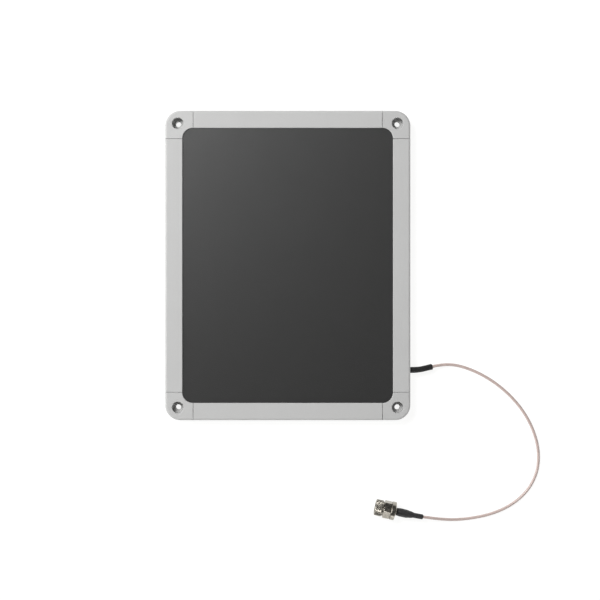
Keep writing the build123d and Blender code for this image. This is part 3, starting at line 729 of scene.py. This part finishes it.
def hexagon(distance):
    """A hexagon with a corner where the turn starts, its corners turned off at both ends."""
    edge = min(distance - HEX_START, HEX_END - distance)
    turned_off = ACROSS_FLATS / 2 + HEX_CORNER_HEIGHT + HEX_CORNER_SLOPE * edge

    def radius(turn):
        from_flat = turn % HEX_SIDE_ANGLE - HEX_SIDE_ANGLE / 2
        return min(ACROSS_FLATS / 2 / math.cos(from_flat), turned_off)

    return radius


def thread(distance):
    """The helical thread of the nut's bore: crests at the bore's radius, roots outside them."""
    fade_in = smooth_step(distance, THREAD_START, THREAD_START + THREAD_FADE_IN)
    fade_out = smooth_step(distance, THREAD_END - THREAD_FADE_OUT, THREAD_END)
    depth = THREAD_DEPTH * fade_in * (1 - fade_out)

    def radius(turn):
        phase = (distance / THREAD_PITCH - turn / math.tau) % 1
        return THREAD_CREST + depth * (1 - abs(2 * phase - 1))

    return radius


def coupling_nut():
    """The nut: knurled band, groove, hexagon and rim outside; bore, ring groove and thread inside."""
    section = [(0, BAND_RADIUS - BAND_CHAMFER)]
    section += [(at, knurl(at)) for at in steps(KNURL_EDGE, BAND_END - KNURL_EDGE, KNURL_STEP)]
    section += [(BAND_END, 6.3), (BAND_END + 0.05, GROOVE_RADIUS)]
    section += [(HEX_START - 0.1, GROOVE_RADIUS), (HEX_START, 6.2)]
    section += [(at, hexagon(at)) for at in (HEX_START + inset for inset in (0, 0.15, 0.35, 0.6))]
    section += [(at, hexagon(at)) for at in (HEX_END - inset for inset in (0.6, 0.3, 0.05))]
    section += [(HEX_END, 6.6), (HEX_END, 7.35), (HEX_END + 0.15, 7.65), (HEX_END + 0.4, RIM_RADIUS)]
    section += [(NUT_LENGTH - 0.5, RIM_RADIUS), (NUT_LENGTH - 0.2, 7.62), (NUT_LENGTH, 7.25)]
    section += [(NUT_LENGTH, REAR_BORE + 0.25), (NUT_LENGTH - 0.2, REAR_BORE), (RING_GROOVE[1], REAR_BORE)]
    section += [(RING_GROOVE[1], RING_GROOVE_RADIUS), (RING_GROOVE[0], RING_GROOVE_RADIUS)]
    section += [(RING_GROOVE[0], THREAD_CREST)]
    section += [(at, thread(at)) for at in reversed(steps(THREAD_START, THREAD_END, THREAD_STEP))]
    section += [(0, MOUTH_RADIUS)]
    return turned("coupling_nut_knurled", "coupling_nut", section, NUT_SEGMENTS, NUT_CREASE, HEX_TURN)


BODY_SEGMENTS = 96
BODY_CREASE = 35
BODY_START = 1.5
BODY_BEVEL = 0.1
LIP_ROUNDING = 0.15
LIP_INNER_ROUNDING = 0.12
CONTACT_SLEEVE_RADIUS = 4.1
CONTACT_SLEEVE_BORE = 3.4
FLANGE = (9.5, 11.0)
FLANGE_RADIUS = 5.0
BARREL_END = 18.0
BARREL_RADIUS = 4.5
BARREL_BEVEL = 0.25
RING_SEAT = (12.15, 13.05)
RING_SEAT_RADIUS = 4.0
NECK_END = 22.0
NECK_RADIUS = 2.7
STEM_END = 27.0
STEM_RADIUS = 1.6
STEM_BORE_RADIUS = 0.9
SOCKET_FLOOR = 16.65


def connector_body():
    """The plug's body: contact sleeve with a rounded lip, flange, barrel, neck and stem."""
    section = [
        (BODY_START + LIP_INNER_ROUNDING, CONTACT_SLEEVE_BORE),
        (BODY_START, CONTACT_SLEEVE_BORE + LIP_ROUNDING),
        (BODY_START, CONTACT_SLEEVE_RADIUS - LIP_ROUNDING),
        (BODY_START + LIP_ROUNDING, CONTACT_SLEEVE_RADIUS),
        (FLANGE[0], CONTACT_SLEEVE_RADIUS),
        (FLANGE[0], FLANGE_RADIUS - BODY_BEVEL),
        (FLANGE[0] + BODY_BEVEL, FLANGE_RADIUS),
        (FLANGE[1] - BODY_BEVEL, FLANGE_RADIUS),
        (FLANGE[1], FLANGE_RADIUS - BODY_BEVEL),
        (FLANGE[1], BARREL_RADIUS),
        (RING_SEAT[0], BARREL_RADIUS),
        (RING_SEAT[0], RING_SEAT_RADIUS),
        (RING_SEAT[1], RING_SEAT_RADIUS),
        (RING_SEAT[1], BARREL_RADIUS),
        (BARREL_END - BARREL_BEVEL, BARREL_RADIUS),
        (BARREL_END, BARREL_RADIUS - BARREL_BEVEL),
        (BARREL_END, NECK_RADIUS),
        (NECK_END - BODY_BEVEL, NECK_RADIUS),
        (NECK_END, NECK_RADIUS - BODY_BEVEL),
        (NECK_END, STEM_RADIUS),
        (STEM_END - BODY_BEVEL, STEM_RADIUS),
        (STEM_END, STEM_RADIUS - BODY_BEVEL),
        (STEM_END, STEM_BORE_RADIUS),
        (SOCKET_FLOOR, STEM_BORE_RADIUS),
        (SOCKET_FLOOR, CONTACT_SLEEVE_BORE),
    ]
    return turned("connector_body_turned", "connector_body", section, BODY_SEGMENTS, BODY_CREASE)


nut = coupling_nut()
body = connector_body()

[tuple(point) for point in cable_path]

# ---- table and light, in metres ----
TABLE_HALF = 3.0
TABLE_BELOW = 0.0001
TABLE_WHITE = (0.2, 0.2, 0.199)
TABLE_GLOW = (1, 1, 0.995, 1)
TABLE_GLOW_STRENGTH = 0.89


def table():
    """A pale matt table just under the rear face, which glows a little and so stays white."""
    mesh = bpy.data.meshes.new("table")
    signs = [(-1, -1), (1, -1), (1, 1), (-1, 1)]
    corners = [(x * TABLE_HALF, y * TABLE_HALF, -TABLE_BELOW) for x, y in signs]
    mesh.from_pydata(corners, [], [(0, 1, 2, 3)])
    top = bpy.data.objects.new("table", mesh)
    bpy.context.scene.collection.objects.link(top)
    white = Shader("table_white", TABLE_WHITE, roughness=0.9, Specular_IOR_Level=0.1)
    white.bsdf.inputs["Emission Color"].default_value = TABLE_GLOW
    white.bsdf.inputs["Emission Strength"].default_value = TABLE_GLOW_STRENGTH
    mesh.materials.append(white.material)


def softbox(name, place, aim, size, power):
    """A rectangular soft light at a place, pointed at another."""
    data = bpy.data.lights.new(name, "AREA")
    data.shape = "RECTANGLE"
    data.size, data.size_y = size
    data.energy = power
    lamp = bpy.data.objects.new(name, data)
    lamp.location = place
    lamp.rotation_euler = (Vector(aim) - Vector(place)).to_track_quat("-Z", "Y").to_euler()
    bpy.context.scene.collection.objects.link(lamp)


def studio(overhead, horizon, start, end):
    """A dim room, pale from below up to start and fading out at end, both sines of the height in view."""
    world = bpy.data.worlds.new("studio")
    world.use_nodes = True
    nodes, links = world.node_tree.nodes, world.node_tree.links
    direction = nodes.new("ShaderNodeTexCoord").outputs["Generated"]
    split = nodes.new("ShaderNodeSeparateXYZ")
    fade = nodes.new("ShaderNodeMapRange")
    links.new(direction, split.inputs["Vector"])
    links.new(split.outputs["Z"], fade.inputs["Value"])
    for socket, value in (("From Min", start), ("From Max", end), ("To Min", horizon), ("To Max", overhead)):
        fade.inputs[socket].default_value = value
    links.new(fade.outputs["Result"], nodes["Background"].inputs["Strength"])
    nodes["Background"].inputs["Color"].default_value = (1, 1, 1, 1)
    bpy.context.scene.world = world


table()
softbox("key", place=(-0.87, 0.84, 1.82), aim=(0, 0, 0), size=(0.8, 0.8), power=36.3)
softbox("side", place=(-1.6, 0.05, 0.8), aim=(0, 0, 0), size=(1.0, 0.7), power=14)
softbox("fill", place=(1.3, -0.9, 1.6), aim=(0, 0, 0), size=(1.2, 1.2), power=5.2)
softbox("low", place=(0.12, -1.9, 0.62), aim=(0.07, -0.2, 0), size=(1.4, 0.5), power=4.8)
studio(overhead=0.07, horizon=0.97, start=0.14, end=0.22)
bpy.context.scene.view_settings.view_transform = "Standard"
bpy.context.scene.view_settings.look = "None"
